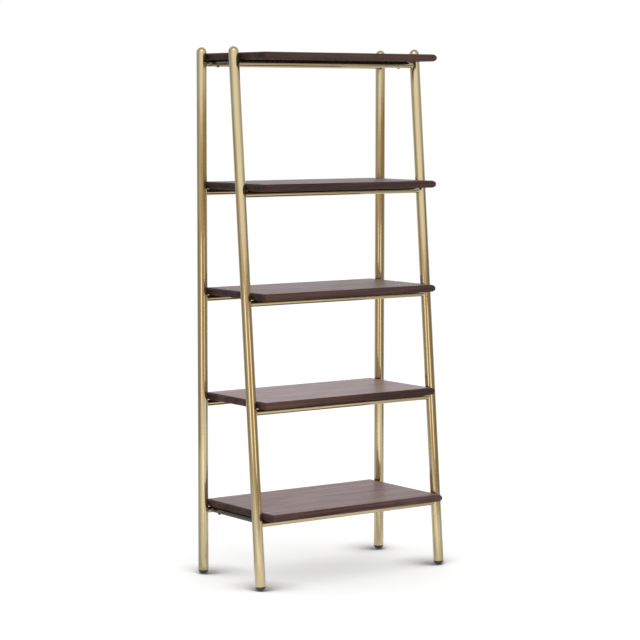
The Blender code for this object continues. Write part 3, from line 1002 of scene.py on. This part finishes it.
def add_card(name, section, profile, level, tint):
    """A curved card over a section, with a profile of (distance, height) points."""
    start, end = section
    work = bmesh.new()
    count = max(2, round(abs(end - start) / CARD_STEP))
    columns = []
    for step in range(count + 1):
        direction = studio_direction(start + (end - start) * step / count)
        columns.append([work.verts.new((direction.x * distance, direction.y * distance, height))
                        for distance, height in profile])
    for left, right in zip(columns, columns[1:]):
        for step in range(len(left) - 1):
            work.faces.new((left[step], right[step], right[step + 1], left[step + 1]))
    mesh = mesh_of(name, work)
    made, tree, output = stage_material(name)
    glow = add_node(tree, "Emission", Color=(*tint, 1.0), Strength=level)
    tree.links.new(glow.outputs[0], output.inputs["Surface"])
    mesh.materials.append(made)
    item = new_item(name, mesh)
    item.visible_camera = False
    item.visible_diffuse = False
    item.visible_shadow = False
    item.visible_transmission = False


def upright(distance, low, high):
    return ((distance, low), (distance, high))


def floor_strip(start):
    """From the floor at a distance out to the foot of the wall."""
    return ((start, STRIP_LIFT), (WALL, WALL_FOOT))


def over_floor(start):
    """The same strip, and the wall up to the ceiling."""
    return (*floor_strip(start), (WALL, CEILING))


SLOPE = ((WALL, CEILING), (FAR_WALL, FAR_CEILING))

# Name, section, profile, level and tint
CARDS = (
    ("back_left", BEHIND_LEFT, over_floor(0.75), 0.60, COOL),
    ("flag_left_floor", LEFT, floor_strip(STRIP_START), 0.44, COOL),
    ("flag_left", LEFT, upright(WALL, WALL_FOOT, WALL_LOWER), 0.28, TAN),
    ("flag_left_middle", LEFT, upright(WALL, WALL_LOWER, WALL_UPPER), 0.33, WARM),
    ("flag_left_upper", LEFT, upright(WALL, WALL_UPPER, CEILING), 0.40, COOL),
    ("wall_left_floor", FRONT_LEFT, floor_strip(STRIP_START), 0.66, NEUTRAL),
    ("wall_left", FRONT_LEFT, upright(WALL, WALL_FOOT, WALL_LOWER), 0.44, WARM),
    ("wall_left_middle", FRONT_LEFT, upright(WALL, WALL_LOWER, WALL_UPPER), 0.54, WARM),
    ("wall_left_upper", FRONT_LEFT, upright(WALL, WALL_UPPER, CEILING), 0.66, COOL),
    ("floor_right", (40, 76), ((STRIP_START, STRIP_LIFT), (PANELS, PANEL_FOOT)), 0.66, NEUTRAL),
    ("floor_side", RIGHT, floor_strip(0.5), 0.48, COOL),
    ("panel_left", (-38, -20), upright(PANELS, *PANEL_SPAN), 1.35, WARM),
    ("gap_middle", (-20, 22), upright(PANELS, *PANEL_SPAN), 0.42, BROWN),
    ("panel_right", (22, 42), upright(PANELS, *PANEL_SPAN), 1.25, WARM),
    ("gap_right", (42, 76), upright(PANELS, *PANEL_SPAN), 0.34, BROWN),
    ("far_wall", (-38, 18), upright(FAR_WALL, 0.0, FAR_TOP), 0.48, BROWN),
    ("far_wall_right", (18, 76), upright(FAR_WALL, 0.0, FAR_RIGHT_TOP), 0.28, BROWN),
    ("far_upper", (-38, 18), upright(FAR_WALL, FAR_TOP, FAR_CEILING), 0.90, NEUTRAL),
    ("far_upper_right", (18, 50), upright(FAR_WALL, FAR_RIGHT_TOP, FAR_CEILING), 0.88, NEUTRAL),
    ("far_upper_side", (50, 76), upright(FAR_WALL, FAR_RIGHT_TOP, FAR_CEILING), 0.60, NEUTRAL),
    ("high_light", (-22, 22), upright(HIGH_LIGHT, *HIGH_LIGHT_SPAN), 2.6, NEUTRAL),
    ("flag_right", RIGHT, upright(WALL, WALL_FOOT, FLAG_RIGHT_TOP), 0.20, COOL),
    ("flag_right_upper", RIGHT, upright(WALL, FLAG_RIGHT_TOP, CEILING), 0.44, COOL),
    ("back_right", BEHIND_RIGHT, over_floor(0.6), 0.60, COOL),
    ("far_back", (150, 210), upright(FAR_BACK, 0.0, FAR_BACK_HEIGHT), 1.25, MAUVE),
    ("upper_left", (-150, -38), SLOPE, 0.50, NEUTRAL),
    ("upper_right", (76, 150), SLOPE, 0.50, NEUTRAL),
    ("ceiling", (0, 360), ((CEILING_HOLE, FAR_CEILING), (CEILING_REACH, FAR_CEILING)), 0.50, NEUTRAL),
)

make_legs_and_feet()
make_rails()
make_side_rails()
make_screws()
make_shelves()
make_camera()
make_floor()
make_world()
make_lamps()
for card in CARDS:
    add_card(*card)
bpy.context.scene.view_settings.view_transform = "Standard"
